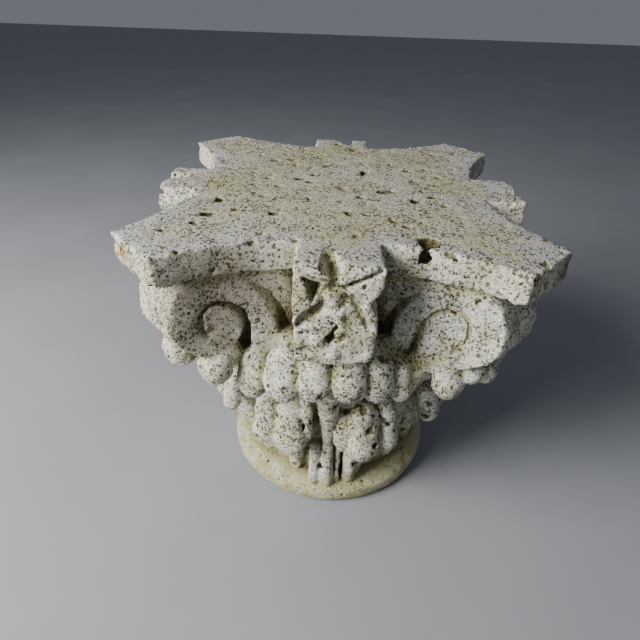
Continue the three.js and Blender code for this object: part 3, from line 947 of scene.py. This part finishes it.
class CAPITAL_OT_carve(bpy.types.Operator):
    """Carves the capital and covers it with stone"""

    bl_idname = "capital.carve"
    bl_label = "Carve Capital"

    def execute(self, context):
        sizes = context.scene.capital_carving
        rng = np.random.default_rng(sizes.seed)
        block = Block(sizes.pitch)
        carve_bell(block)
        carve_ring(block)
        carve_volutes(block)
        carve_abacus(block)
        carve_upper_leaves(block)
        carve_lower_leaves(block)
        for side in range(4):
            carve_flower(block, side, side in (FRONT, RIGHT))
        wear(block, rng, sizes.wear)
        # How sunk each point is; from these the finish paints growth in the hollows and shade with
        # grime in the deeper ones.
        hollow, deep = block.fullness(12), block.fullness(26)
        whole = block.field.copy()
        add_pits(block, rng, sizes.pits)
        x, y, z = (a.reshape(s) for a, s in zip(block.axes, ((-1, 1, 1), (1, -1, 1), (1, 1, -1))))
        box = np.maximum(np.abs(x), np.abs(y)) - HALF_WIDTH + 0.4
        box = np.maximum(box, np.maximum(z - HEIGHT + 0.4, 0.4 - z))
        block.field = np.maximum(block.field, box)
        mesh = stone_mesh(block, "capital_stone", sizes.triangles)
        points = mesh_points(mesh)
        store(mesh, "hollow", block.at(hollow, points))
        store(mesh, "deep", block.at(deep, points))
        store(mesh, "pit", np.clip(-block.at(whole, points) / 4, 0, 1))
        points = np.clip(points, (-HALF_WIDTH, -HALF_WIDTH, 0), (HALF_WIDTH, HALF_WIDTH, HEIGHT))
        mesh.vertices.foreach_set("co", (points * MM).ravel())
        mesh.shade_smooth()
        mesh.update()
        capital = bpy.data.objects.new("capital_stone", mesh)
        context.scene.collection.objects.link(capital)
        mesh.materials.append(stone_finish(context.scene.capital_colours))
        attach(capital, "root")
        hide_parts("capital")
        print("triangles", len(mesh.polygons))
        return {"FINISHED"}


class CAPITAL_OT_stage(bpy.types.Operator):
    """Lays a pale floor and sets the light and the camera"""

    bl_idname = "capital.stage"
    bl_label = "Set Stage"

    def execute(self, context):
        scene, look = context.scene, context.scene.capital_stage
        bpy.ops.mesh.primitive_plane_add(size=16, location=(0, 3, 0))
        floor = context.object
        floor.name = "floor"
        floor.data.materials.append(floor_finish(tuple(look.floor)))

        world = bpy.data.worlds.new("studio")
        world.use_nodes = True
        light = world.node_tree.nodes["Background"]
        light.inputs["Color"].default_value = (*look.sky, 1)
        light.inputs["Strength"].default_value = look.sky_strength
        scene.world = world

        aim = Vector((0, 0, 0.28))
        turn, rise = look.window_turn, look.window_height
        level = math.cos(rise)
        way = Vector((-math.sin(turn) * level, -math.cos(turn) * level, math.sin(rise)))
        lamp = bpy.data.lights.new("window", "AREA")
        lamp.shape, lamp.size, lamp.size_y = "RECTANGLE", 1.1, 1.3
        lamp.energy = look.window_power
        lamp.color = (1.0, 0.985, 0.96)
        window = bpy.data.objects.new("window", lamp)
        window.location = aim + way * 2.2
        window.rotation_mode = "QUATERNION"
        window.rotation_quaternion = (-way).to_track_quat("-Z", "Y")
        scene.collection.objects.link(window)
        scene.camera = photo_camera(scene)
        return {"FINISHED"}


def photo_camera(scene):
    """The camera, at the place and angle of the photograph."""
    pitch, roll, azimuth = (math.radians(a) for a in (34.2176, 1.9528, -1.3038))
    forward = Vector((
        math.sin(azimuth) * math.cos(pitch),
        math.cos(azimuth) * math.cos(pitch),
        -math.sin(pitch),
    ))
    level = Vector((math.cos(azimuth), -math.sin(azimuth), 0))
    upright = level.cross(forward)
    right = level * math.cos(roll) + upright * math.sin(roll)
    up = upright * math.cos(roll) - level * math.sin(roll)
    lens = bpy.data.cameras.new("camera")
    lens.lens, lens.sensor_width = 26.953, 36.0
    camera = bpy.data.objects.new("camera", lens)
    turn = Matrix((right, up, -forward)).transposed().to_4x4()
    camera.matrix_world = Matrix.Translation(Vector((-8.0, -662.1, 697.7)) * MM) @ turn
    scene.collection.objects.link(camera)
    return camera


class CAPITAL_PT_panel(bpy.types.Panel):
    """Lists the settings and the steps"""

    bl_label = "Corinthian Capital"
    bl_space_type = "VIEW_3D"
    bl_region_type = "UI"
    bl_category = "Capital"

    def draw(self, context):
        scene = context.scene
        for group in (scene.capital_carving, scene.capital_colours, scene.capital_stage):
            box = self.layout.box()
            for name in group.__annotations__:
                box.prop(group, name)
        for operator in OPERATORS:
            self.layout.operator(operator.bl_idname)


OPERATORS = (CAPITAL_OT_carve, CAPITAL_OT_stage)
GROUPS = {
    "capital_carving": CarvingSettings,
    "capital_colours": StoneColours,
    "capital_stage": StageSettings,
}


def register():
    for item in (*GROUPS.values(), *OPERATORS, CAPITAL_PT_panel):
        bpy.utils.register_class(item)
    for name, group in GROUPS.items():
        setattr(bpy.types.Scene, name, PointerProperty(type=group))


def unregister():
    for name in GROUPS:
        delattr(bpy.types.Scene, name)
    for item in (CAPITAL_PT_panel, *OPERATORS, *GROUPS.values()):
        bpy.utils.unregister_class(item)


def main():
    register()
    bpy.ops.capital.carve()
    bpy.ops.capital.stage()


if __name__ == "__main__":
    main()
